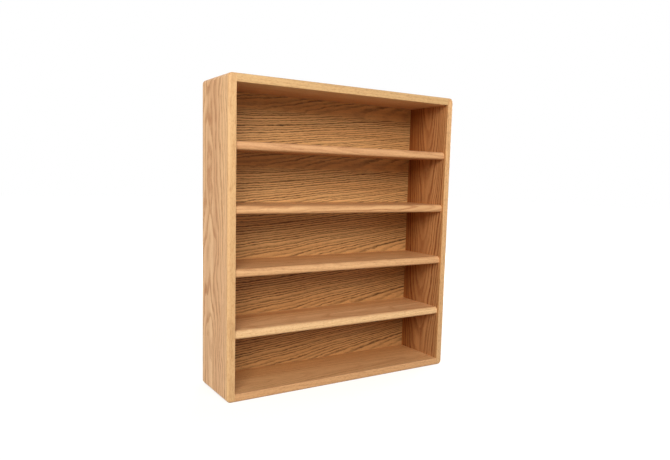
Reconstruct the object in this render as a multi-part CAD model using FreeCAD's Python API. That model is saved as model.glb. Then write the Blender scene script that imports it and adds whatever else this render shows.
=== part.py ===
"""Open-front oak rack for disc cases: two full-height sides, a top and a bottom board between
them, four fixed shelves and a plywood back. It has no doors, drawers or feet.

The frame: origin on the floor under the middle of the rack, +Z up, +X to the right as seen
from the front, and the open front faces -Y. All sizes are in millimetres."""
import FreeCAD, Part
import math
import os

# Overall sizes
width = 688.975
depth = 174.625

# Boards
side_thickness = 20.6375
end_board_thickness = 20.6375
shelf_thickness = 20.6375
back_thickness = 6.35

# Clear heights of the compartments, from which the height follows
bottom_opening = 134.9375
middle_opening = 131.7625
top_opening = 133.35
shelf_count = 4

# Shelves
shelf_setback = 6.35
housing_depth = 6.35
housing_clearance = 0.1
shelf_notch = 15.875

# Rounded arrises
outer_corner_radius = 11.1125
front_round = 6.35
rear_round = 6.35
inner_front_round = 1.5875
shelf_upper_round = 11.1125
shelf_lower_round = 6.35

# Rear rabbet that holds the back panel
rabbet_width = 9.525
panel_clearance = 0.4

# Dowels that join the top and bottom boards to the sides
dowel_diameter = 9.525
dowel_length = 36.0
dowel_in_side = 12.0
dowel_end_gap = 0.8
dowel_chamfer = 1.0
dowel_clearance = 0.05
dowel_count = 3
dowel_edge = 32.0

# Brads that hold the back panel
brad_diameter = 1.6
brad_head_diameter = 2.8
brad_head_height = 0.8
brad_length = 25.4
brad_clearance = 0.05
brad_corner = 50.0
brads_per_end_board = 5
brads_per_shelf = 3

# Places that follow from the sizes above
shelf_pitch = middle_opening + shelf_thickness
lowest_shelf = end_board_thickness + bottom_opening
highest_shelf = lowest_shelf + (shelf_count - 1) * shelf_pitch
height = highest_shelf + shelf_thickness + top_opening + end_board_thickness
half_width = width / 2
front = -depth / 2
rear = depth / 2
panel_front = rear - back_thickness
inner_half_width = half_width - side_thickness
rabbet_half_width = inner_half_width + rabbet_width
rabbet_bottom = end_board_thickness - rabbet_width
rabbet_top = height - rabbet_bottom
shelf_front = front + shelf_setback

X = FreeCAD.Vector(1, 0, 0)
Y = FreeCAD.Vector(0, 1, 0)


def block(low, high):
    """A box between two corners."""
    size = [high[i] - low[i] for i in range(3)]
    return Part.makeBox(size[0], size[1], size[2], FreeCAD.Vector(*low))


def rod(diameter, length, start, direction):
    """A round rod that starts at a point and runs along a direction."""
    return Part.makeCylinder(diameter / 2, length, FreeCAD.Vector(*start), direction)


def edges_where(shape, test):
    """The edges whose bounding box passes a test."""
    return [edge for edge in shape.Edges if test(edge.BoundBox)]


def same(a, b):
    """Whether two lengths agree to a thousandth of a millimetre."""
    return math.isclose(a, b, abs_tol=0.001)


def spread(first, last, count):
    """Evenly spaced places from first to last, or the middle one alone."""
    if count == 1:
        return [(first + last) / 2]
    return [first + (last - first) * i / (count - 1) for i in range(count)]


def shelf_bottom(number):
    """Height of a shelf's lower face, shelf 1 being the highest."""
    return lowest_shelf + (shelf_count - number) * shelf_pitch


def compartments():
    """The lower and upper face of each compartment, from the floor up."""
    floors = [end_board_thickness] + [shelf_bottom(n) + shelf_thickness for n in range(shelf_count, 0, -1)]
    ceilings = [shelf_bottom(n) for n in range(shelf_count, 0, -1)] + [height - end_board_thickness]
    return list(zip(floors, ceilings))


def carcass_ring():
    """The four outer boards as one ring with its arrises rounded, before it is cut into boards.

    The rounding runs across the corner joints, as it does when a glued-up case is routed."""
    ring = block((-half_width, front, 0), (half_width, rear, height))
    corners = edges_where(ring, lambda b: same(b.YLength, depth))
    ring = ring.makeFillet(min(outer_corner_radius, side_thickness * 0.95), corners)
    ring = ring.makeFillet(front_round, edges_where(ring, lambda b: same(b.YMax, front)))
    ring = ring.makeFillet(rear_round, edges_where(ring, lambda b: same(b.YMin, rear)))
    hollow = block((-inner_half_width, front - 1, end_board_thickness),
                   (inner_half_width, rear + 1, height - end_board_thickness))
    ring = ring.cut(hollow)
    inner = edges_where(ring, lambda b: same(b.YMax, front) and same(b.YMin, front) and (
        b.XMax <= inner_half_width + 0.001 and b.XMin >= -inner_half_width - 0.001) and (
        b.ZMin >= end_board_thickness - 0.001 and b.ZMax <= height - end_board_thickness + 0.001))
    ring = ring.makeFillet(inner_front_round, inner)
    rabbet = block((-rabbet_half_width, panel_front, rabbet_bottom),
                   (rabbet_half_width, rear + 1, rabbet_top))
    return ring.cut(rabbet)


def shelf(number):
    """A shelf with both front arrises rounded, the upper one more. Its ends reach into the housings
    of the sides, but for a notch behind the front edge, which hides the housing's end."""
    low = shelf_bottom(number)
    reach = inner_half_width + housing_depth - housing_clearance
    board = block((-reach, shelf_front, low), (reach, panel_front, low + shelf_thickness))
    upper = edges_where(board, lambda b: same(b.YMax, shelf_front) and same(b.ZMin, low + shelf_thickness))
    lower = edges_where(board, lambda b: same(b.YMax, shelf_front) and same(b.ZMax, low))
    board = board.makeFillet(shelf_upper_round, upper)
    board = board.makeFillet(shelf_lower_round, lower)
    for side in (-1, 1):
        x = sorted((side * inner_half_width, side * (reach + 1)))
        board = board.cut(block((x[0], shelf_front - 1, low - 1),
                                (x[1], shelf_front + shelf_notch, low + shelf_thickness + 1)))
    return board


def housing(number, side):
    """The groove across a side that takes the end of a shelf."""
    low = shelf_bottom(number)
    x = sorted((side * (inner_half_width - 1), side * (inner_half_width + housing_depth)))
    start = shelf_front + shelf_notch - housing_clearance
    return block((x[0], start, low), (x[1], panel_front + 1, low + shelf_thickness))


def dowel_places(top):
    """Where the dowels of one corner joint lie: their y and z."""
    z = height - end_board_thickness / 2 if top else end_board_thickness / 2
    return [(y, z) for y in spread(front + dowel_edge, panel_front - dowel_edge, dowel_count)]


def dowels(side, top):
    """The dowels of one corner joint, with chamfered ends."""
    pins = []
    start = inner_half_width + dowel_in_side
    for y, z in dowel_places(top):
        pin = rod(dowel_diameter, dowel_length, (side * start, y, z), X * -side)
        rims = [edge for edge in pin.Edges if edge.BoundBox.XLength < 0.001]
        pins.append(pin.makeChamfer(dowel_chamfer, rims))
    return pins


def dowel_holes(side, top):
    """The blind holes for one corner joint, through the seam between side and board."""
    start = inner_half_width + dowel_in_side + dowel_end_gap
    length = dowel_length + 2 * dowel_end_gap
    bore = dowel_diameter + 2 * dowel_clearance
    return [rod(bore, length, (side * start, y, z), X * -side) for y, z in dowel_places(top)]


def brad_places():
    """Where the brads enter the back, as a list of (x, z) for each board that holds them.

    Those in the sides lie midway between the shelves, clear of the housings."""
    edge_x = (inner_half_width + rabbet_half_width) / 2
    low_z = (end_board_thickness + rabbet_bottom) / 2
    along = spread(brad_corner - inner_half_width, inner_half_width - brad_corner, brads_per_end_board)
    upright = [(low + high) / 2 for low, high in compartments()]
    across = spread(brad_corner - inner_half_width, inner_half_width - brad_corner, brads_per_shelf)
    places = {
        "top": [(x, height - low_z) for x in along],
        "bottom": [(x, low_z) for x in along],
        "left": [(-edge_x, z) for z in upright],
        "right": [(edge_x, z) for z in upright],
    }
    for number in range(1, shelf_count + 1):
        z = shelf_bottom(number) + shelf_thickness / 2
        places["shelf_%d" % number] = [(x, z) for x in across]
    return places


def brad(x, z, gap=0.0):
    """A brad with its head flush with the back panel, or, with a gap, the hole that it drives."""
    shank = rod(brad_diameter + 2 * gap, brad_length + gap, (x, rear, z), Y * -1)
    head = rod(brad_head_diameter + 2 * gap, brad_head_height + gap, (x, rear, z), Y * -1)
    return shank.fuse(head).removeSplitter()


def back_panel():
    """The plywood back, which lies in the rear rabbet."""
    half = rabbet_half_width - panel_clearance
    low = rabbet_bottom + panel_clearance
    return block((-half, panel_front, low), (half, rear, height - low))


def build():
    """Every piece of the rack, by name."""
    ring = carcass_ring()
    cell = (inner_half_width, depth, height)
    pieces = {
        "left_side": ring.common(block((-half_width, -cell[1], 0), (-cell[0], cell[1], cell[2]))),
        "right_side": ring.common(block((cell[0], -cell[1], 0), (half_width, cell[1], cell[2]))),
        "top_board": ring.common(block((-cell[0], -cell[1], height / 2), cell)),
        "bottom_board": ring.common(block((-cell[0], -cell[1], 0), (cell[0], cell[1], height / 2))),
        "back_panel": back_panel(),
    }
    for number in range(1, shelf_count + 1):
        pieces["shelf_%d" % number] = shelf(number)
        for side, name in ((-1, "left_side"), (1, "right_side")):
            pieces[name] = pieces[name].cut(housing(number, side))
    for side, side_name in ((-1, "left"), (1, "right")):
        for top, board_name in ((True, "top"), (False, "bottom")):
            for hole in dowel_holes(side, top):
                for name in (side_name + "_side", board_name + "_board"):
                    pieces[name] = pieces[name].cut(hole)
            pieces["dowels_%s_%s" % (board_name, side_name)] = Part.makeCompound(dowels(side, top))
    for holder, places in brad_places().items():
        suffix = {"left": "_side", "right": "_side", "top": "_board", "bottom": "_board"}.get(holder, "")
        for name in (holder + suffix, "back_panel"):
            for x, z in places:
                pieces[name] = pieces[name].cut(brad(x, z, brad_clearance))
        pieces["brads_" + holder] = Part.makeCompound([brad(x, z) for x, z in places])
    return pieces


def main():
    """Write one STEP file for each piece and print what was made."""
    os.makedirs("parts", exist_ok=True)
    print("height %.3f width %.3f depth %.3f" % (height, width, depth))
    for name, shape in build().items():
        shape.exportStep("parts/%s.step" % name)
        box = shape.BoundBox
        print("%-22s %2d solid(s), %.1f x %.1f x %.1f, valid %s"
              % (name, len(shape.Solids), box.XLength, box.YLength, box.ZLength, shape.isValid()))


main()
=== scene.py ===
# %% [markdown]
# # An open oak rack with five compartments
#
# The rack is a plain piece of joinery: two full-height sides, a top and a bottom board between them,
# four fixed shelves and a plywood back, all in red oak under a clear satin lacquer. The construction
# arrives ready made, in its real size. This lesson dresses it. Almost everything that makes it look like
# oak happens in the materials, so most of the cells below build the wood up from what a tree does:
# growth rings, pores, rays and slow changes of colour.

# %% Load the packed rack
import math

import bmesh
import bpy
from mathutils import Matrix, Vector


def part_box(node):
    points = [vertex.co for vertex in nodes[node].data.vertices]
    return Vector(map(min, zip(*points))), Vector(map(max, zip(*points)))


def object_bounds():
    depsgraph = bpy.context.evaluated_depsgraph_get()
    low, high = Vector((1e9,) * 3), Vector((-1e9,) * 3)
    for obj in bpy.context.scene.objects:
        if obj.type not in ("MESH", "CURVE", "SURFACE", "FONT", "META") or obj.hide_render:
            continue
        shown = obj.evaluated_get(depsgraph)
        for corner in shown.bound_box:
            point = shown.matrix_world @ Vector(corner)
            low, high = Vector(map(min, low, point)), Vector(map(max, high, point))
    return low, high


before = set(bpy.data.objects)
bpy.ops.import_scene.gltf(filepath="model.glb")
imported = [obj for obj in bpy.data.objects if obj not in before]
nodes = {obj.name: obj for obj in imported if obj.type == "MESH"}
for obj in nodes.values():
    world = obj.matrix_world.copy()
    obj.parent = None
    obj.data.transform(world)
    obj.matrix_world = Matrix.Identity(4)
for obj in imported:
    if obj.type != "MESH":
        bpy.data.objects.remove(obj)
cad_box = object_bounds()
print("pieces:", len(nodes), "box:", [[round(v, 4) for v in corner] for corner in cad_box])

# %% [markdown]
# ## Reading the rack's own sizes
#
# A grain pattern has to know where each board lies, so that the log it was sawn from can be placed
# beside it. The sizes are read from the pieces themselves, in metres. Written-out numbers would go stale
# when the rack changes.

# %% Sizes and places
SIDES = ["left_side", "right_side"]
SHELVES = sorted(name for name in nodes if name.startswith("shelf_"))
DOWELS = [name for name in nodes if name.startswith("dowels_")]
BRADS = [name for name in nodes if name.startswith("brads_")]
MM = 0.001

low, high = (Vector(corner) for corner in cad_box)
HEIGHT = high.z - low.z
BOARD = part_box("bottom_board")[1][2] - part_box("bottom_board")[0][2]
print("height %.4f, board %.4f, shelves %d" % (HEIGHT, BOARD, len(SHELVES)))


# %% [markdown]
# ## A short way to write node trees
#
# A procedural wood needs a few dozen small nodes. Each could be made with three or four lines, which
# buries the idea under bookkeeping. This helper makes a node, fills its sockets with numbers or with
# other nodes' outputs, and hands back the output that a formula needs, so that it reads as a formula. In
# all of the wood X runs along the grain, Y across the board and Z through it.

# %% The node helper
class Tree:
    """Makes nodes in one node tree. A value for a socket is a number, a tuple or another socket."""

    def __init__(self, tree):
        self.tree = tree

    def put(self, socket, value):
        """Join a socket to another one, or set its value."""
        if isinstance(value, bpy.types.NodeSocket):
            self.tree.links.new(value, socket)
        else:
            socket.default_value = value

    def node(self, kind, inputs=(), **settings):
        """A node with its settings and its inputs."""
        made = self.tree.nodes.new(kind)
        for name, value in settings.items():
            setattr(made, name, value)
        for key, value in dict(inputs).items():
            self.put(made.inputs[key], value)
        return made

    def use(self, group, inputs):
        """A node group in this tree, as its outputs."""
        return self.node("ShaderNodeGroup", inputs, node_tree=group).outputs

    def math(self, operation, a, b=0.0, c=0.0):
        """A sum on numbers."""
        return self.node("ShaderNodeMath", {0: a, 1: b, 2: c}, operation=operation).outputs[0]

    def vector(self, operation, a, b=(0, 0, 0)):
        """A sum on vectors."""
        return self.node("ShaderNodeVectorMath", {0: a, 1: b}, operation=operation).outputs[0]

    def swing(self, value, noise, width):
        """A value moved up and down by noise, which lies around one half."""
        return self.math("MULTIPLY_ADD", self.math("SUBTRACT", noise, 0.5), width, value)

    def stretch(self, where, scale, shift=(0, 0, 0)):
        """Coordinates scaled and moved. A smaller scale along the grain draws a pattern out along it."""
        inputs = {"Vector": where, "Scale": scale, "Location": shift}
        return self.node("ShaderNodeMapping", inputs).outputs[0]

    def noise(self, where, detail, roughness, scale=1.0):
        """Noise in space, from 0 to 1."""
        inputs = {"Vector": where, "Scale": scale, "Detail": detail, "Roughness": roughness}
        return self.node("ShaderNodeTexNoise", inputs).outputs["Fac"]

    def grain(self, where, along, across, detail, roughness, shift=(0, 0, 0), scale=1.0):
        """Noise that is drawn out along the grain. The shift takes it to a place of its own."""
        return self.noise(self.stretch(where, (along, across, across), shift), detail, roughness, scale)

    def ramp(self, value, low_in, high_in, low_out=0.0, high_out=1.0, smooth=True):
        """A value taken from one range to another and held at both ends."""
        inputs = {"Value": value, "From Min": low_in, "From Max": high_in, "To Min": low_out,
                  "To Max": high_out}
        kind = "SMOOTHSTEP" if smooth else "LINEAR"
        return self.node("ShaderNodeMapRange", inputs, interpolation_type=kind).outputs[0]

    def mix(self, share, a, b, blend="MIX"):
        """Two colours, with a share of the second laid over the first."""
        made = self.node("ShaderNodeMix", data_type="RGBA", blend_type=blend, clamp_factor=True)
        self.put(made.inputs[0], share)
        self.put(made.inputs[6], a)
        self.put(made.inputs[7], b)
        return made.outputs[2]


print("the helper can:", ", ".join(name for name in vars(Tree) if not name.startswith("_")))

# %% [markdown]
# ## Effects as node groups
#
# Every board uses the same rings, pores and lacquer with other values. Copies of the nodes in each
# material would have to be kept alike by hand. A node group is built once, and each material sets the
# group's own named inputs. The groups below hold only patterns and colours. The shader itself stays in
# the material.

# %% The group helper
FLOAT = "NodeSocketFloat"
VECTOR = "NodeSocketVector"
COLOR = "NodeSocketColor"


def new_group(name, inputs, outputs):
    """A shader node group, as its tree helper, the sockets given to it and the sockets it puts out."""
    group = bpy.data.node_groups.new(name, "ShaderNodeTree")
    for label, kind, default in inputs:
        socket = group.interface.new_socket(label, in_out="INPUT", socket_type=kind)
        if default is not None:
            socket.default_value = default
    for label, kind in outputs:
        group.interface.new_socket(label, in_out="OUTPUT", socket_type=kind)
    t = Tree(group)
    return t, t.node("NodeGroupInput").outputs, t.node("NodeGroupOutput").inputs


def tell(group):
    """Print what a finished group holds."""
    print("%s: %d nodes" % (group.name, len(group.nodes)))


print("kinds of socket:", FLOAT, VECTOR, COLOR)

# %% [markdown]
# ## Growth rings
#
# A plain-sawn board is a flat slice through a stack of nearly round shells. Where the slice meets a
# shell at a shallow angle, the ring comes out as a long pointed arch, and near the board's edges it
# comes out as straight lines. An image or a stripe texture could fake one face, but then the edges and
# the end grain would not agree with it. Here the rings are worked out in space, from the distance to the
# pith, which is the middle of the tree. Every face of a board then shows its own true section of the
# same log.
#
# A trunk is no cylinder, so the distance is bent. Lean and Tilt slope the pith against the board. Wander
# moves it by slow noise that is stretched along the trunk. Wave lets groups of rings swing together,
# which turns plain arches into the wild ones of a broad board, and Ripple frets each line a little.

# %% Distance from the pith
def ring_radius(t, given, where):
    """The bent distance of a point from the pith, and the part of it that lies across the board."""
    parts = t.node("ShaderNodeSeparateXYZ", {0: given["Vector"]}).outputs
    bend_across = t.grain(where, 1.6, 5.0, 1.0, 0.4)
    bend_depth = t.grain(where, 2.2, 6.0, 1.0, 0.4, (7.3, 1.9, 4.4))
    wave = t.grain(where, 6.5, 16.0, 1.5, 0.5, (9.4, 3.6, 2.2))
    ripple = t.grain(where, 30.0, 75.0, 3.0, 0.6, (2.1, 8.3, 5.7))
    across = t.math("SUBTRACT", parts[1], given["Pith Offset"])
    across = t.math("SUBTRACT", across, t.math("MULTIPLY", parts[0], given["Tilt"]))
    across = t.swing(across, bend_across, given["Wander"])
    depth = t.math("ADD", parts[2], given["Pith Depth"])
    depth = t.math("ADD", depth, t.math("MULTIPLY", parts[0], given["Lean"]))
    depth = t.swing(depth, bend_depth, given["Wander"])
    squares = t.math("ADD", t.math("MULTIPLY", across, across), t.math("MULTIPLY", depth, depth))
    radius = t.swing(t.math("SQRT", squares), wave, given["Wave"])
    return t.swing(radius, ripple, given["Ripple"]), across


print("made the helper", ring_radius.__name__)

# %% [markdown]
# ## One year of growth
#
# In red oak each year starts with a band of wide pores, which looks dark, and ends in dense pale wood.
# So one ring is a saw tooth: a steep start, then a slow fade. Good and bad summers make some rings wide
# and others narrow, and some bands strong and others faint. Noise with one dimension, read along the
# years, gives that.
#
# In the middle of an arch the slice only grazes the rings, their pores are spread thin, and the bands
# look paler. Grazed says how strong a band still is there. Cut Across says how steeply the slice has to
# cross a ring, as a sine, for its band to be whole.

# %% The ring group
BAND_RISE = (0.0, 0.14)     # the part of a year in which the dark band begins
BAND_FADE = (0.24, 0.70)    # the part in which it fades to late wood
UNEVEN_YEARS = 1.6          # how many years the good and bad summers can shift a ring
FAINTEST_BAND = 0.50
GRAZING = 0.10              # the sine up to which a ring is only grazed


def ring_band(t, given, radius, across):
    """How much early wood there is at a distance from the pith, from 0 to 1."""
    years = t.math("DIVIDE", radius, given["Ring Width"])
    slow = {"W": years, "Scale": 0.35, "Detail": 1.0}
    summers = t.node("ShaderNodeTexNoise", slow, noise_dimensions="1D").outputs["Fac"]
    years = t.math("MULTIPLY_ADD", summers, UNEVEN_YEARS, years)
    phase = t.math("FRACT", years)
    band = t.math("MULTIPLY", t.ramp(phase, *BAND_RISE), t.ramp(phase, *BAND_FADE, 1.0, 0.0))
    chance = t.node("ShaderNodeTexWhiteNoise", {"W": t.math("FLOOR", years)}, noise_dimensions="1D")
    strong = t.ramp(chance.outputs["Value"], 0.0, 1.0, FAINTEST_BAND, 1.0, smooth=False)
    steep = t.math("DIVIDE", t.math("ABSOLUTE", across), radius)
    thinned = t.ramp(steep, GRAZING, given["Cut Across"], given["Grazed"], 1.0)
    return t.math("MULTIPLY", band, t.math("MULTIPLY", strong, thinned))


def make_rings():
    """The growth rings. Place is the point in the log, for finer patterns to follow."""
    inputs = [
        ("Vector", VECTOR, None),
        ("Ring Width", FLOAT, 0.003),
        ("Pith Depth", FLOAT, 0.08),
        ("Pith Offset", FLOAT, 0.0),
        ("Lean", FLOAT, 0.02),
        ("Tilt", FLOAT, 0.0),
        ("Wander", FLOAT, 0.010),
        ("Wave", FLOAT, 0.0),
        ("Grazed", FLOAT, 0.52),
        ("Cut Across", FLOAT, 0.65),
        ("Ripple", FLOAT, 0.0010),
        ("Seed", FLOAT, 0.0),
    ]
    t, given, out = new_group("Oak growth rings", inputs, [("Band", FLOAT), ("Place", VECTOR)])
    seed = t.node("ShaderNodeCombineXYZ", {0: given["Seed"], 1: given["Seed"]}).outputs[0]
    place = t.vector("ADD", given["Vector"], seed)
    radius, across = ring_radius(t, given, place)
    t.put(out["Band"], ring_band(t, given, radius, across))
    t.put(out["Place"], place)
    return t.tree


rings_group = make_rings()
tell(rings_group)

# %% [markdown]
# ## Veneer leaves
#
# The back is plywood, and its face is a row of veneer leaves. A knife shaves them one after another off
# the same block and they are laid edge to edge the same way up, so each leaf nearly repeats the one
# below it, about a hand's width further on. The pattern could be painted leaf by leaf. It is simpler to
# fold space: the height is wrapped to one leaf's width, each leaf looks one Slice deeper into the block,
# and it has slipped a little along the grain. Above the height called Join the row starts anew, moved by
# Upper Shift.

# %% The leaf group
LEAF_SLIP = 0.011


def make_leaves():
    """Folds a panel's height into veneer leaves."""
    inputs = [
        ("Vector", VECTOR, None),
        ("Leaf Width", FLOAT, 0.15),
        ("Shift", FLOAT, 0.0),
        ("Slice", FLOAT, 0.001),
        ("Join", FLOAT, 1.0),
        ("Upper Shift", FLOAT, 0.0),
    ]
    t, given, out = new_group("Veneer leaves", inputs, [("Vector", VECTOR)])
    parts = t.node("ShaderNodeSeparateXYZ", {0: given["Vector"]}).outputs
    above = t.math("GREATER_THAN", parts[1], given["Join"])
    shift = t.math("ADD", given["Shift"], t.math("MULTIPLY", above, given["Upper Shift"]))
    raised = t.math("DIVIDE", t.math("ADD", parts[1], shift), given["Leaf Width"])
    leaf = t.math("FLOOR", raised)
    within = t.math("SUBTRACT", t.math("FRACT", raised), 0.5)
    within = t.math("MULTIPLY", within, given["Leaf Width"])
    deeper = t.math("MULTIPLY_ADD", leaf, given["Slice"], parts[2])
    along = t.math("MULTIPLY_ADD", leaf, LEAF_SLIP, parts[0])
    t.put(out["Vector"], t.node("ShaderNodeCombineXYZ", {0: along, 1: within, 2: deeper}).outputs[0])
    return t.tree


leaves_group = make_leaves()
tell(leaves_group)

# %% [markdown]
# ## Pores, rays and slow colour
#
# Up close, red oak is full of open pores: dark dashes a third of a millimetre wide and one or two
# centimetres long, crowded in the first part of each ring. Short darker rays lie between them, and a
# rounded edge, which cuts across the bands, shows the early wood as brown flecks. Over a whole board the
# colour drifts from straw to pinkish tan. Noise that is squeezed across the grain and drawn out along it
# gives all of these. The pores are kept where the ring group says that the early wood is.

# %% The figure group
PORES_ALONG = 60.0       # noise cells to a metre
PORES_ACROSS = 1500.0
MARKS = ("Pores", "Dashes", "Rays", "Streaks", "Tone", "Fibre", "Flecks")


def make_figure():
    """The fine marks of oak, each from 0 to 1."""
    inputs = [
        ("Place", VECTOR, None),
        ("Band", FLOAT, 0.0),
        ("Pore Length", FLOAT, 1.0),
        ("Drift", FLOAT, 1.0),
        ("Streak Width", FLOAT, 1.0),
    ]
    t, given, out = new_group("Oak figure", inputs, [(name, FLOAT) for name in MARKS])
    place = given["Place"]

    # pores pass a threshold, which the dark band lowers
    run = t.math("DIVIDE", 1.0, given["Pore Length"])
    drawn = {0: t.math("MULTIPLY", run, PORES_ALONG), 1: PORES_ACROSS, 2: PORES_ACROSS}
    fine = t.vector("MULTIPLY", place, t.node("ShaderNodeCombineXYZ", drawn).outputs[0])
    threshold = t.ramp(given["Band"], 0.15, 0.85, 0.62, 0.50)
    t.put(out["Pores"], t.ramp(t.math("SUBTRACT", t.noise(fine, 2.0, 0.6), threshold), 0.0, 0.06))

    # dashes break the bands up, and streaks and tone change over a whole board
    dashes = t.grain(place, 48.0, 190.0, 3.0, 0.6, (4.4, 7.7, 1.1))
    t.put(out["Dashes"], t.ramp(dashes, 0.38, 0.60, smooth=False))
    rays = t.grain(place, 90.0, 420.0, 2.0, 0.5, (3.1, 0.4, 9.2))
    t.put(out["Rays"], t.ramp(rays, 0.56, 0.68))
    broad = t.stretch(place, (2.6, 95.0, 95.0), (5.2, 6.1, 0.3))
    streaks = t.noise(t.vector("DIVIDE", broad, given["Streak Width"]), 4.0, 0.62)
    t.put(out["Streaks"], t.ramp(streaks, 0.30, 0.72, smooth=False))
    slow = t.grain(place, 1.4, 14.0, 2.0, 0.5, (8.8, 2.6, 7.1), given["Drift"])
    t.put(out["Tone"], t.ramp(slow, 0.28, 0.72, smooth=False))
    t.put(out["Fibre"], t.grain(place, 40.0, 900.0, 3.0, 0.65, (1.2, 3.4, 5.6)))
    flecks = t.grain(place, 130.0, 360.0, 3.0, 0.7, (6.1, 2.2, 3.8))
    t.put(out["Flecks"], t.ramp(flecks, 0.48, 0.66))
    return t.tree


figure_group = make_figure()
tell(figure_group)

# %% [markdown]
# ## Colour and sheen of the lacquered wood
#
# The masks now become wood. Pale late wood, brown early wood, darker pores and a drift between a yellow
# and a pink tan are mixed one over another, as they lie in a real board. Near the board's edges a share
# of the plain edge wood with its flecks is laid over that. The lacquer fills the surface but sinks a
# little into the pores, so roughness rises there and a Bump node sees them as shallow grooves. One group
# does this for every board, and each material sets its own colours and strengths.

# %% The lacquered oak group
DRIFT_SHARE = 0.8
FLECK_SHARE = 0.42
RAY_SHARE = 0.12


def make_lacquered_oak():
    """Mixes the marks into colour, roughness and height."""
    inputs = [
        ("Band", FLOAT, 0.0), ("Pores", FLOAT, 0.0), ("Dashes", FLOAT, 0.5), ("Rays", FLOAT, 0.0),
        ("Streaks", FLOAT, 0.5), ("Tone", FLOAT, 0.5), ("Fibre", FLOAT, 0.5), ("Flecks", FLOAT, 0.0),
        ("Edge", FLOAT, 0.0),
        ("Late Wood", COLOR, (0.6, 0.4, 0.2, 1)), ("Early Wood", COLOR, (0.4, 0.2, 0.08, 1)),
        ("Edge Wood", COLOR, (0.7, 0.5, 0.25, 1)), ("Warm Drift", COLOR, (0.55, 0.33, 0.18, 1)),
        ("Pore Colour", COLOR, (0.2, 0.09, 0.03, 1)),
        ("Band Strength", FLOAT, 0.6), ("Pore Strength", FLOAT, 0.5), ("Streak Strength", FLOAT, 0.4),
        ("Dash Strength", FLOAT, 0.5), ("Edge Share", FLOAT, 0.85), ("Lacquer Roughness", FLOAT, 0.42),
    ]
    outputs = [("Color", COLOR), ("Roughness", FLOAT), ("Height", FLOAT)]
    t, given, out = new_group("Lacquered oak", inputs, outputs)
    base = t.mix(t.math("MULTIPLY", given["Tone"], DRIFT_SHARE), given["Late Wood"], given["Warm Drift"])
    gaps = t.math("SUBTRACT", given["Dashes"], 1.0)
    broken = t.math("MULTIPLY_ADD", gaps, given["Dash Strength"], 1.0)
    band = t.math("MULTIPLY", t.math("MULTIPLY", given["Band"], broken), given["Band Strength"])
    wood = t.mix(band, base, given["Early Wood"])
    streaks = t.math("MULTIPLY", given["Streaks"], given["Streak Strength"])
    wood = t.mix(streaks, wood, given["Early Wood"])
    edge = t.mix(t.math("MULTIPLY", given["Flecks"], FLECK_SHARE), given["Edge Wood"], given["Early Wood"])
    wood = t.mix(t.math("MULTIPLY", given["Edge"], given["Edge Share"]), wood, edge)
    wood = t.mix(t.math("MULTIPLY", given["Rays"], RAY_SHARE), wood, given["Pore Colour"])
    pores = t.math("MULTIPLY", given["Pores"], given["Pore Strength"])
    t.put(out["Color"], t.mix(pores, wood, given["Pore Colour"]))

    # the lacquer is duller over the pores and sinks into them, and a little into the early wood
    rough = t.math("MULTIPLY_ADD", given["Pores"], 0.18, given["Lacquer Roughness"])
    t.put(out["Roughness"], t.swing(rough, given["Fibre"], 0.10))
    height = t.math("MULTIPLY_ADD", given["Pores"], -0.6, t.math("MULTIPLY", given["Fibre"], 0.35))
    t.put(out["Height"], t.math("MULTIPLY_ADD", given["Band"], -0.15, height))
    return t.tree


oak_group = make_lacquered_oak()
tell(oak_group)

# %% [markdown]
# ## One material for each board
#
# No two boards in a rack come from the same place in the log, so each board has a material of its own. A
# Mapping node brings the board's middle to zero, and a second one turns the object's coordinates until X
# runs along the grain. Then every board says how far it lay from the pith.
#
# Tints darken each board along one of its axes. Most of them are painted shade, where less light reaches:
# towards the back, towards the foot and on an inner face. A tint multiplies the colour, from nothing at
# one place to fully at another along one axis of the board.

# %% The board material
UP = (0.0, math.radians(90), 0.0)       # grain runs up the board, which faces sideways
ACROSS = (0.0, 0.0, 0.0)                # grain runs from left to right, the board lies flat
BACK = (math.radians(-90), 0.0, 0.0)    # grain runs from left to right, the board stands

EDGE_BEGINS = 12 * MM    # how far from the edge the edge wood begins
EDGE_FULL = 2 * MM
PORE_DEPTH = 0.3 * MM
GROOVE_STRENGTH = 0.10
LACQUER_IOR = 1.48
LACQUER_SPECULAR = 0.20


def new_material(name):
    """A material with nodes, as the material, its tree helper and its shader's inputs."""
    material = bpy.data.materials.new(name)
    material.use_nodes = True
    return material, Tree(material.node_tree), material.node_tree.nodes["Principled BSDF"].inputs


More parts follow.
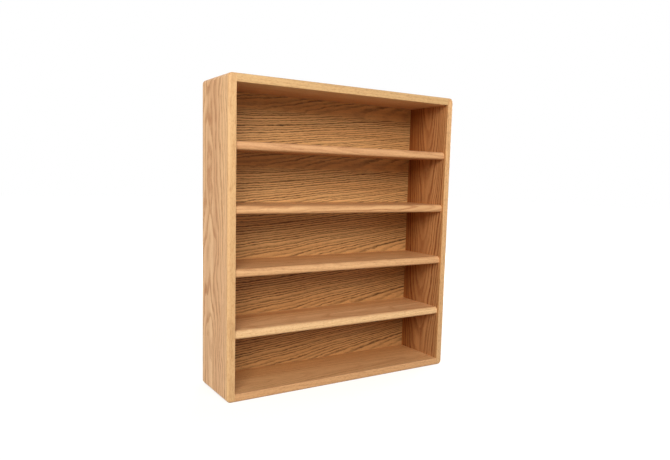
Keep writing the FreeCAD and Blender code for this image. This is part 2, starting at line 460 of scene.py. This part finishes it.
def oak(name, turn, middle, rings, colours, strengths, figure, leaves=None, edge=None, tints=()):
    """A lacquered oak material. turn and middle bring the board's grain onto X and its middle to zero.

    leaves are the veneer's values. edge is half the board's width, where its edges show.
    A tint is (axis, where it starts, where it is full, colour). It may start above and be full below."""
    material, t, shader = new_material(name)
    coordinates = t.node("ShaderNodeTexCoord").outputs["Object"]
    centred = t.node("ShaderNodeMapping", {"Vector": coordinates, "Location": [-v for v in middle]})
    laid = t.node("ShaderNodeMapping", {"Vector": centred.outputs[0], "Rotation": turn}).outputs[0]
    board = t.node("ShaderNodeSeparateXYZ", {0: laid}).outputs
    if leaves:
        laid = t.use(leaves_group, {"Vector": laid, **leaves})["Vector"]
    ring = t.use(rings_group, {"Vector": laid, **rings})
    fine = t.use(figure_group, {"Place": ring["Place"], "Band": ring["Band"], **figure})
    marks = {name: fine[name] for name in MARKS}
    if edge:
        marks["Edge"] = t.ramp(t.math("ABSOLUTE", board[1]), edge - EDGE_BEGINS, edge - EDGE_FULL)
    wood = t.use(oak_group, {"Band": ring["Band"], **marks, **colours, **strengths})
    colour = wood["Color"]
    # each tint darkens the colour along one axis of the board, most of them as painted shade
    for axis, start, full, tint in tints:
        colour = t.mix(t.ramp(board[axis], start, full), colour, tint, "MULTIPLY")
    bump = {"Height": wood["Height"], "Strength": GROOVE_STRENGTH, "Distance": PORE_DEPTH}
    t.put(shader["Base Color"], colour)
    t.put(shader["Roughness"], wood["Roughness"])
    t.put(shader["Normal"], t.node("ShaderNodeBump", bump).outputs[0])
    t.put(shader["IOR"], LACQUER_IOR)
    t.put(shader["Specular IOR Level"], LACQUER_SPECULAR)
    return material


def dress(name, material):
    """Put one material on every slot of a piece."""
    mesh = nodes[name].data
    mesh.materials.clear()
    mesh.materials.append(material)


def centre(name):
    """The middle of a piece."""
    a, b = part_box(name)
    return [(a[i] + b[i]) / 2 for i in range(3)]


def dress_board(name, rings, colours, strengths, figure, tints):
    """Give a side, a flat board or a shelf an oak of its own."""
    turn = UP if name in SIDES else ACROSS
    half = (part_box(name)[1][1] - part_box(name)[0][1]) / 2
    middle = centre(name)
    made = oak("oak_" + name, turn, middle, rings, colours, strengths, figure, edge=half, tints=tints)
    dress(name, made)
    print("%s: rings %.1f mm wide" % (name, rings["Ring Width"] / MM))


print("the middle of the back panel:", [round(v, 4) for v in centre("back_panel")])

# %% [markdown]
# ## Colours and strengths
#
# The colours are written as they look on a screen, from 0 to 255, and turned into the linear values that
# a shader needs. The strengths say how far each mark is mixed in. What several boards share is named
# here: the strengths of an even board, and those of the shelves. The shelves differ in how much of the
# pale edge wood shows on their rounded front edges: most on the two lowest, and least on the second. That
# is painted light: the shelves are one wood, and the share follows how much light falls on each front.

# %% Colours and strengths
def screen(red, green, blue):
    """A colour as seen on a screen, in the linear values of a shader."""
    def linear(v):
        v = v / 255
        return v / 12.92 if v <= 0.04045 else ((v + 0.055) / 1.055) ** 2.4
    return (linear(red), linear(green), linear(blue), 1.0)


def wood_colours(**seen):
    """The colour inputs of the oak group, each given by its name in small letters."""
    return {name.replace("_", " ").title(): screen(*rgb) for name, rgb in seen.items()}


def wood_strengths(band, pore, streak, dash, roughness, edge=0.85):
    """The inputs of the oak group for how much each mark shows."""
    return {"Band Strength": band, "Pore Strength": pore, "Streak Strength": streak, "Dash Strength": dash,
            "Lacquer Roughness": roughness, "Edge Share": edge}


EVEN = wood_strengths(0.55, 0.30, 0.45, 0.6, 0.40)
SHELF = wood_strengths(0.85, 0.30, 0.70, 0.4, 0.40, edge=0.25)
# painted light: the same shelf wood, with more pale edge wood on the better lit fronts and less on
# shelf_2's
PAINTED_LIGHT_EDGE_SHELF = {**SHELF, "Edge Share": 0.55}
PAINTED_SHADE_EDGE_SHELF = {**SHELF, "Edge Share": 0.08}
FINE_STREAKS = {}
BROADER_STREAKS = {"Streak Width": 1.6}
# painted shade: the rear of a shelf and of the bottom board is darkened, where the board above shades it
PAINTED_SHADE_TOWARDS_BACK = [(1, -0.06, 0.07, screen(230, 216, 196))]
print("straw, (236, 188, 132) on a screen, is", [round(v, 3) for v in screen(236, 188, 132)])

# %% [markdown]
# ## The left side
#
# The outer face of the left side is what one sees first. It is calm, pale wood with soft arches that
# wave as they climb, so its rings are wide and swing far. Its bands keep their full strength where they
# are grazed, which leaves marks in the middle of the arches too.

# %% The left side
LEFT_RINGS = {
    "Ring Width": 0.0110, "Pith Depth": 0.052, "Pith Offset": 0.036, "Lean": 0.070, "Wander": 0.020,
    "Wave": 0.052, "Ripple": 0.005, "Grazed": 1.0, "Seed": 9.0,
}
LEFT_COLOURS = wood_colours(
    late_wood=(252, 209, 153), early_wood=(186, 122, 70), edge_wood=(220, 178, 126),
    warm_drift=(236, 190, 142), pore_colour=(140, 88, 50))
LEFT_STRENGTHS = wood_strengths(0.95, 0.35, 0.60, 0.6, 0.42)
LEFT_FIGURE = {"Pore Length": 2.0, "Drift": 1.2, "Streak Width": 2.8}
dress_board("left_side", LEFT_RINGS, LEFT_COLOURS, LEFT_STRENGTHS, LEFT_FIGURE, ())

# %% [markdown]
# ## The right side
#
# The right side shows its inner face, between the shelves, and its front edge. Of the solid boards it
# has the strongest figure, with narrow brown arches. Three tints of painted shade take it down: one on the
# inner face alone, which lies in shade between the shelves, so that the front edge stays pale, one towards
# the back and a slight one towards the foot, where less light reaches.

# %% The right side
RIGHT_RINGS = {
    "Ring Width": 0.0062, "Pith Depth": 0.055, "Pith Offset": -0.004, "Lean": -0.080, "Wander": 0.016,
    "Wave": 0.014, "Ripple": 0.003, "Seed": 11.0,
}
RIGHT_COLOURS = wood_colours(
    late_wood=(240, 192, 140), early_wood=(154, 86, 44), edge_wood=(232, 184, 130),
    warm_drift=(228, 172, 118), pore_colour=(104, 56, 28))
RIGHT_STRENGTHS = wood_strengths(1.0, 0.35, 0.60, 0.4, 0.42)
RIGHT_FIGURE = {"Streak Width": 2.2}
# painted shade: darker on the inner face, towards the back and towards the foot, where less light reaches
PAINTED_SHADE_INNER_FACE = (2, BOARD / 2 - 1.2 * MM, BOARD / 2 - 0.4 * MM, screen(230, 216, 196))
RIGHT_PAINTED_SHADE = [
    PAINTED_SHADE_INNER_FACE,
    (1, -0.04, 0.07, screen(212, 188, 154)),
    (0, 0.10, -0.20, screen(244, 244, 244)),
]
dress_board("right_side", RIGHT_RINGS, RIGHT_COLOURS, RIGHT_STRENGTHS, RIGHT_FIGURE, RIGHT_PAINTED_SHADE)

# %% [markdown]
# ## Top and bottom boards
#
# The top board shows its front edge and, from below, a dim underside. The bottom board shows its upper
# face at a low angle. Both are quiet plain-sawn boards, so they share their strengths.

# %% Top and bottom boards
TOP_RINGS = {"Ring Width": 0.0048, "Pith Depth": 0.090, "Pith Offset": 0.030, "Lean": 0.02, "Seed": 17.0}
TOP_COLOURS = wood_colours(
    late_wood=(230, 188, 138), early_wood=(172, 110, 68), edge_wood=(217, 178, 124),
    warm_drift=(218, 168, 120), pore_colour=(118, 70, 38))
# painted shade: the top board darkens towards the back, where its underside gets less light
TOP_PAINTED_SHADE = [(1, -0.05, 0.08, screen(236, 232, 228))]
dress_board("top_board", TOP_RINGS, TOP_COLOURS, EVEN, FINE_STREAKS, TOP_PAINTED_SHADE)

BOTTOM_RINGS = {
    "Ring Width": 0.0054, "Pith Depth": 0.060, "Pith Offset": -0.030, "Lean": 0.060, "Wave": 0.016,
    "Seed": 23.0,
}
BOTTOM_COLOURS = wood_colours(
    late_wood=(230, 183, 127), early_wood=(172, 108, 62), edge_wood=(220, 169, 119),
    warm_drift=(218, 163, 109), pore_colour=(118, 70, 38))
dress_board("bottom_board", BOTTOM_RINGS, BOTTOM_COLOURS, EVEN, BROADER_STREAKS, PAINTED_SHADE_TOWARDS_BACK)

# %% [markdown]
# ## Shelves
#
# The shelves are four boards of one kind, so a loop makes their rings: each was sawn a little further
# from the pith and further to one side, and every second one slopes the other way. The upper two share a
# colour. The third is warmer and the lowest is the palest, which is painted light: they are the same wood,
# coloured after how the light falls on each.

# %% Shelves
SHELF_COLOURS = wood_colours(
    late_wood=(236, 188, 132), early_wood=(172, 110, 66), edge_wood=(242, 194, 146),
    warm_drift=(225, 170, 120), pore_colour=(120, 66, 32))
# painted light: copies of the shelf colours, warmer for the third shelf and palest for the lowest
WARMER_PAINTED_LIGHT_COLOURS = wood_colours(
    late_wood=(236, 188, 132), early_wood=(176, 114, 68), edge_wood=(228, 180, 130),
    warm_drift=(226, 172, 120), pore_colour=(120, 66, 32))
PALEST_PAINTED_LIGHT_COLOURS = wood_colours(
    late_wood=(244, 200, 146), early_wood=(184, 118, 70), edge_wood=(248, 212, 158),
    warm_drift=(230, 178, 124), pore_colour=(120, 68, 34))
PLAIN_SHELF = (SHELF_COLOURS, SHELF)
OTHER_SHELVES = {
    "shelf_2": (SHELF_COLOURS, PAINTED_SHADE_EDGE_SHELF),
    "shelf_3": (WARMER_PAINTED_LIGHT_COLOURS, PAINTED_LIGHT_EDGE_SHELF),
    "shelf_4": (PALEST_PAINTED_LIGHT_COLOURS, PAINTED_LIGHT_EDGE_SHELF),
}
for index, name in enumerate(SHELVES):
    shelf_rings = {
        "Ring Width": 0.0056 + 0.0006 * (index % 2), "Pith Depth": 0.065 + 0.012 * index,
        "Pith Offset": 0.025 - 0.02 * index, "Lean": 0.05 * (-1) ** index, "Wave": 0.016,
        "Seed": 31.0 + 7.0 * index,
    }
    shelf_colours, shelf_strengths = OTHER_SHELVES.get(name, PLAIN_SHELF)
    dress_board(name, shelf_rings, shelf_colours, shelf_strengths, BROADER_STREAKS, PAINTED_SHADE_TOWARDS_BACK)

# %% [markdown]
# ## The back
#
# The veneer of the back has the boldest figure: nearly black pore lines on a yellow ground, strong where
# the knife cut across the rings and faint where it grazed them. Two tints take it down a little: painted
# shade towards the foot, where the lower compartments get less light, and a darker tone towards the right.

# %% The back
BACK_RINGS = {
    "Ring Width": 0.0052, "Pith Depth": 0.070, "Pith Offset": -0.092, "Lean": -0.05, "Tilt": 0.06,
    "Wander": 0.030, "Wave": 0.005, "Ripple": 0.005, "Grazed": 0.22, "Cut Across": 0.74, "Seed": 41.0,
}
BACK_LEAVES = {
    "Leaf Width": 0.1524, "Shift": 0.238, "Slice": 0.0015, "Join": 0.076, "Upper Shift": -0.1145,
}
BACK_COLOURS = wood_colours(
    late_wood=(235, 183, 119), early_wood=(42, 18, 4), warm_drift=(208, 148, 86), pore_colour=(36, 16, 4))
BACK_STRENGTHS = wood_strengths(1.0, 0.55, 0.25, 0.50, 0.42)
# painted shade towards the foot, where the lower compartments get less light, and a darker tone towards
# the right
BACK_PAINTED_SHADE_AND_TONE = [
    (1, HEIGHT * 0.10, -HEIGHT * 0.25, screen(244, 240, 238)),
    (0, 0.10, 0.30, screen(240, 237, 233)),
]
veneer = oak("oak_back_panel", BACK, centre("back_panel"), BACK_RINGS, BACK_COLOURS, BACK_STRENGTHS,
             FINE_STREAKS, leaves=BACK_LEAVES, tints=BACK_PAINTED_SHADE_AND_TONE)
dress("back_panel", veneer)
print("back_panel: leaves %.1f mm wide" % (BACK_LEAVES["Leaf Width"] / MM))

# %% [markdown]
# ## Dowels and brads
#
# The beech dowels are hidden in the joints, and only the flat heads of the brads can be seen, on the
# back. They still get real finishes, because a part can be taken apart. Beech has short fine fibres and
# no bands that would show on a dowel. Brad steel is bright, with faint lines left by the drawing die.

# %% Small pieces
def beech():
    """Bare beech. The fibres follow the dowels, which run from side to side."""
    material, t, shader = new_material("beech_dowel")
    place = t.node("ShaderNodeTexCoord").outputs["Object"]
    fibre = t.grain(place, 120.0, 1600.0, 3.0, 0.6)
    t.put(shader["Base Color"], t.mix(fibre, screen(226, 196, 150), screen(196, 158, 112)))
    t.put(shader["Roughness"], t.ramp(fibre, 0.3, 0.7, 0.55, 0.72))
    return material


def brad_steel():
    """Bright drawn steel. The lines follow the brads, which run from the rear to the front."""
    material, t, shader = new_material("brad_steel")
    place = t.node("ShaderNodeTexCoord").outputs["Object"]
    lines = t.noise(t.stretch(place, (2500.0, 200.0, 2500.0)), 2.0, 0.5)
    t.put(shader["Base Color"], t.mix(lines, screen(196, 196, 200), screen(160, 160, 166)))
    t.put(shader["Roughness"], t.ramp(lines, 0.3, 0.7, 0.28, 0.45))
    t.put(shader["Metallic"], 1.0)
    return material


beech_material = beech()
steel_material = brad_steel()
for name in DOWELS:
    dress(name, beech_material)
for name in BRADS:
    dress(name, steel_material)
print("dowel groups:", len(DOWELS), "brad groups:", len(BRADS))

# %% [markdown]
# ## The white ground
#
# The rack is pictured like a catalogue piece, on a plain white ground. The ground is white only to the
# camera and to reflections: the same strength of light from all round would wash the colours out. The
# floor is a wide sheet, and the world goes on beyond it in the same way. The sheet glows a little below
# white near the rack, which leaves a faint shadow there, and reaches full white further out. Its own
# colour is a warm grey, which sends some warm light back to the rack, and a trace of blue in the near
# glow balances that to the eye.

# %% Floor
FLOOR_HALF = 12.0
FLOOR_COLOUR = (0.42, 0.37, 0.30, 1)
NEAR = 0.6    # metres from the middle of the rack
FAR = 2.0
NEAR_GLOW = 0.76
NEAR_TONE = (0.95, 0.98, 1.0, 1)
WHITE = (1, 1, 1, 1)


def seen_directly(t):
    """One for a ray from the camera, or one that a shiny or clear surface sends on, and else zero."""
    path = t.node("ShaderNodeLightPath").outputs
    shiny = t.math("MAXIMUM", path["Is Camera Ray"], path["Is Glossy Ray"])
    return t.math("MAXIMUM", shiny, path["Is Transmission Ray"])


mesh = bpy.data.meshes.new("floor")
shape = bmesh.new()
bmesh.ops.create_grid(shape, x_segments=1, y_segments=1, size=FLOOR_HALF)
bmesh.ops.translate(shape, vec=(0, 0, low.z), verts=shape.verts)
shape.to_mesh(mesh)
shape.free()
floor = bpy.data.objects.new("floor", mesh)
bpy.context.scene.collection.objects.link(floor)

floor_material, t, paper = new_material("white_floor")
place = t.node("ShaderNodeTexCoord").outputs["Object"]
distance = t.node("ShaderNodeVectorMath", {0: place}, operation="LENGTH").outputs["Value"]
glow = t.ramp(distance, NEAR, FAR, NEAR_GLOW, 1.0)
t.put(paper["Base Color"], FLOOR_COLOUR)
t.put(paper["Roughness"], 0.9)
t.put(paper["Specular IOR Level"], 0.1)
t.put(paper["Emission Strength"], t.math("MULTIPLY", seen_directly(t), glow))
t.put(paper["Emission Color"], t.mix(t.ramp(distance, NEAR, FAR), NEAR_TONE, WHITE))
mesh.materials.append(floor_material)
print("floor %.0f m wide, glow %.2f beside the rack" % (2 * FLOOR_HALF, NEAR_GLOW))

# %% World
WORLD_LEVEL = 0.02
world = bpy.data.worlds.new("studio")
bpy.context.scene.world = world
world.use_nodes = True
t = Tree(world.node_tree)
plain = world.node_tree.nodes["Background"].inputs
t.put(plain["Strength"], t.math("MULTIPLY_ADD", seen_directly(t), 1.0 - WORLD_LEVEL, WORLD_LEVEL))
t.put(plain["Color"], WHITE)
print("world: 1 to the camera, %.2f to the rack" % WORLD_LEVEL)

# %% [markdown]
# ## Lamps
#
# A large soft panel in front and to the left does most of the work, so that light falls off towards the
# back of each compartment. It stands more than four metres away: a near lamp would light the upper part
# of the left front edge far more than its foot. A smaller one in front opens up the shadows, two at the
# sides catch the outer faces, and one behind keeps the rear from going black when the rack is turned.

# %% Lamps
MIDDLE = (0.0, 0.0, HEIGHT / 2)
LAMPS = {
    # name: (place, size, power)
    "key": ((-2.1, -3.15, 2.2), 2.1, 146.0),
    "front": ((0.2, -2.8, 2.1), 1.2, 31.0),
    "left": ((-2.6, 0.25, 1.0), 1.2, 19.0),
    "right": ((2.4, 0.5, 1.1), 1.2, 40.0),
    "rear": ((1.4, 2.6, 0.8), 1.4, 34.0),
}


def panel_light(name, place, target, size, power):
    """A square soft light that faces a target."""
    lamp = bpy.data.lights.new(name, "AREA")
    lamp.size = size
    lamp.energy = power
    made = bpy.data.objects.new(name, lamp)
    made.location = place
    made.rotation_euler = (Vector(target) - Vector(place)).to_track_quat("-Z", "Y").to_euler()
    bpy.context.scene.collection.objects.link(made)
    return (Vector(target) - Vector(place)).length


for name, (place, size, power) in LAMPS.items():
    away = panel_light(name, place, MIDDLE, size, power)
    print("%s lamp: %.1f m away, %.0f W" % (name, away, power))

# %% [markdown]
# ## Camera
#
# The camera stands where the photographer stood: left of the rack, a little above its middle, turned and
# rolled a trace. The vanishing points of the rack's edges give the place, the turn and the focal length.
# The picture is a crop of a larger one, so the lens axis doesn't pass through its centre, and a small
# shift says so. The view transform is Standard, so that a colour comes out as it is written.

# %% Camera
PICTURE_WIDTH = 670
PICTURE_HEIGHT = 460
FOCAL_PIXELS = 607.2
AXIS_PIXEL = (339.1, 248.6)
EYE = (-0.8878, -1.4226, 0.5566)
YAW = math.radians(32.60)
PITCH = math.radians(-6.79)
ROLL = math.radians(1.52)

forward = Vector((math.sin(YAW) * math.cos(PITCH), math.cos(YAW) * math.cos(PITCH), math.sin(PITCH)))
level_right = forward.cross(Vector((0, 0, 1))).normalized()
level_up = level_right.cross(forward)
right = math.cos(ROLL) * level_right + math.sin(ROLL) * level_up
up = math.cos(ROLL) * level_up - math.sin(ROLL) * level_right

camera_data = bpy.data.cameras.new("camera")
camera_data.sensor_width = 36.0
camera_data.lens = FOCAL_PIXELS / PICTURE_WIDTH * camera_data.sensor_width
camera_data.shift_x = (PICTURE_WIDTH / 2 - AXIS_PIXEL[0]) / PICTURE_WIDTH
camera_data.shift_y = (AXIS_PIXEL[1] - PICTURE_HEIGHT / 2) / PICTURE_WIDTH
camera = bpy.data.objects.new("camera", camera_data)
camera.matrix_world = Matrix((
    (right.x, up.x, -forward.x, EYE[0]),
    (right.y, up.y, -forward.y, EYE[1]),
    (right.z, up.z, -forward.z, EYE[2]),
    (0, 0, 0, 1)))
bpy.context.scene.collection.objects.link(camera)
bpy.context.scene.camera = camera
bpy.context.scene.view_settings.view_transform = "Standard"
print("lens %.2f mm" % camera_data.lens)

# %% [markdown]
# ## The size, and the end
#
# Dressing must not change the rack's size.
